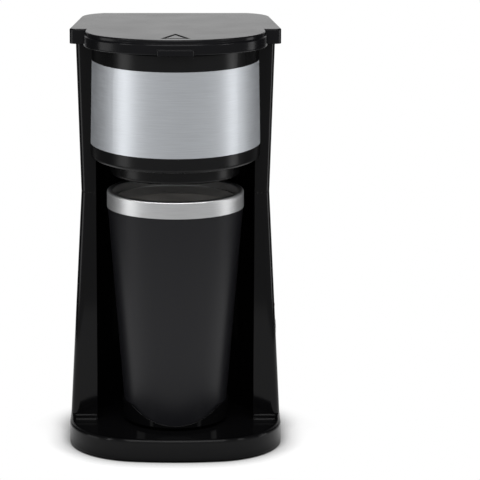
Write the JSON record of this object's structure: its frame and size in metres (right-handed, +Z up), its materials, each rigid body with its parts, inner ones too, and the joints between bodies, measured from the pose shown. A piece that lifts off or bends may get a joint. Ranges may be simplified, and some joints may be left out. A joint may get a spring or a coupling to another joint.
{
  "type": "drip coffee maker",
  "caption": "Compact black drip coffee maker with a brushed steel band, hinged lid and a travel mug standing in its bay",
  "frame": {"origin": "under the middle of the machine's box, on the table", "axes": "x to the machine's right as seen from the front, -y to the front, z up"},
  "size_m": [0.1326, 0.136, 0.26],
  "materials": {
    "gloss_black": "gloss",
    "satin_black": "satin",
    "dark_plastic": "matte",
    "grey_plastic": "matte",
    "pale_plastic": "matte",
    "brushed_steel": "brushed",
    "plain_steel": "satin",
    "fastener_steel": "polished",
    "cast_aluminium": "cast",
    "black_rubber": "matte",
    "clear_lens": "gloss"
  },
  "bodies": {
    "machine": {"base_housing": "gloss_black", "bottom_cover": "dark_plastic", "rubber_feet": "black_rubber", "cover_screws": "fastener_steel", "lower_body": "gloss_black", "tower_screws": "fastener_steel", "upper_body": "gloss_black", "head_shell": "gloss_black", "steel_band": "brushed_steel", "head_floor": "gloss_black", "filter_holder": "dark_plastic", "filter_frame": "dark_plastic", "filter_mesh": "plain_steel", "hinge_pins": "fastener_steel", "water_tank": "grey_plastic", "tank_strainer": "dark_plastic", "riser_tube": "pale_plastic", "riser_seal": "black_rubber", "boiler_block": "cast_aluminium", "water_tube": "plain_steel", "heating_rod": "plain_steel", "boiler_bracket": "plain_steel", "thermostat": "dark_plastic", "thermal_fuse": "pale_plastic", "cold_hose": "pale_plastic", "hot_hose": "pale_plastic", "hose_clips": "fastener_steel", "switch_housing": "dark_plastic", "indicator_lens": "clear_lens", "lead_gland": "dark_plastic"},
    "lid": {"lid_shell": "gloss_black", "lid_liner": "dark_plastic"},
    "spout": {"spout_arm": "dark_plastic", "shower_plate": "dark_plastic"},
    "mug": {"mug_body": "satin_black", "mug_liner": "plain_steel", "mug_band": "brushed_steel", "mug_boot": "gloss_black"},
    "button": {"power_button": "gloss_black"}
  },
  "joints": [
    {"name": "lid_hinge", "type": "hinge", "parent": "machine", "child": "lid", "pos_m": [0, 0.0615, 0.2553], "axis": [-1, 0, 0], "range_deg": [0, 95]},
    {"name": "spout_swing", "type": "hinge", "parent": "machine", "child": "spout", "pos_m": [0, 0.0548, 0.25], "axis": [0, 0, 1], "range_deg": [0, 55]},
    {"name": "mug_pull", "type": "slide", "parent": "machine", "child": "mug", "axis": [0, -0.9932, 0.1167], "range_m": [0, 0.13]},
    {"name": "button_press", "type": "slide", "parent": "machine", "child": "button", "axis": [-1, 0, 0], "range_m": [0, 0.002], "stiffness_N_per_m": 400}
  ]
}
